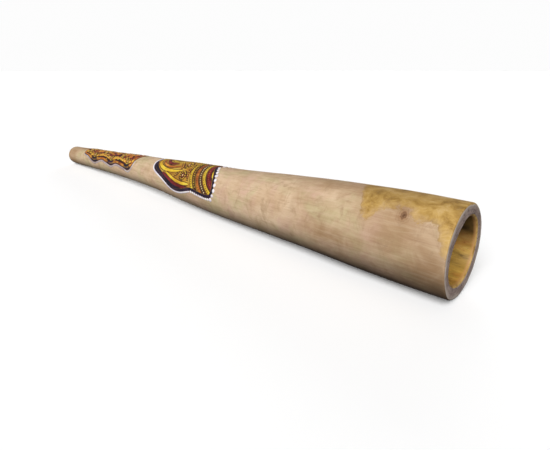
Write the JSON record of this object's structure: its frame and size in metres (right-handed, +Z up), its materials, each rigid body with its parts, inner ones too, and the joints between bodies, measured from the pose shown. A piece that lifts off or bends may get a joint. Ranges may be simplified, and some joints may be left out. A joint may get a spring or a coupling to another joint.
{
  "type": "didgeridoo",
  "caption": "Straight hardwood drone pipe that flares from a waxed blowing end to an open bell, with painted dot-and-band panels.",
  "frame": {"origin": "on the ground under the middle of the instrument's length, centred across it, as it lies", "axes": "+X from the blowing end to the bell, +Z up, +Y to the side away from the viewer in the picture's view"},
  "size_m": [1.2052, 0.1325, 0.1333],
  "materials": {
    "wood": "satin, pale tan with grey and pink clouds, fine lengthwise grain",
    "glue": "dried wood glue, satin",
    "bore_varnish": "yellow-orange varnish over hollowed wood, glossy",
    "end_grain": "matt grey sealed end grain",
    "beeswax": "smooth beeswax, soft sheen",
    "dark_paint": "blue-black acrylic, satin",
    "ochre_paint": "yellow ochre acrylic, satin",
    "maroon_paint": "maroon acrylic, satin",
    "white_paint": "off-white acrylic line, matt",
    "white_dots": "thick white acrylic dots, satin",
    "violet_paint": "dark violet acrylic, satin",
    "orange_paint": "orange and ochre acrylic, satin",
    "lilac_paint": "pale lilac-grey acrylic line, matt",
    "yellow_dots": "thick yellow-cream acrylic dots, satin"
  },
  "bodies": {
    "root": {"near_half": "wood", "rear_half": "wood", "glue_seams": "glue", "bore_sealer": "bore_varnish", "bell_end_coat": "end_grain", "wax_mouthpiece": "beeswax", "large_panel_base": "dark_paint", "large_panel_field": "ochre_paint", "large_panel_bands": "maroon_paint", "large_panel_outline": "white_paint", "large_panel_dots": "white_dots", "small_panel_base": "violet_paint", "small_panel_field": "orange_paint", "small_panel_outline": "lilac_paint", "small_panel_dots": "yellow_dots"}
  },
  "joints": []
}
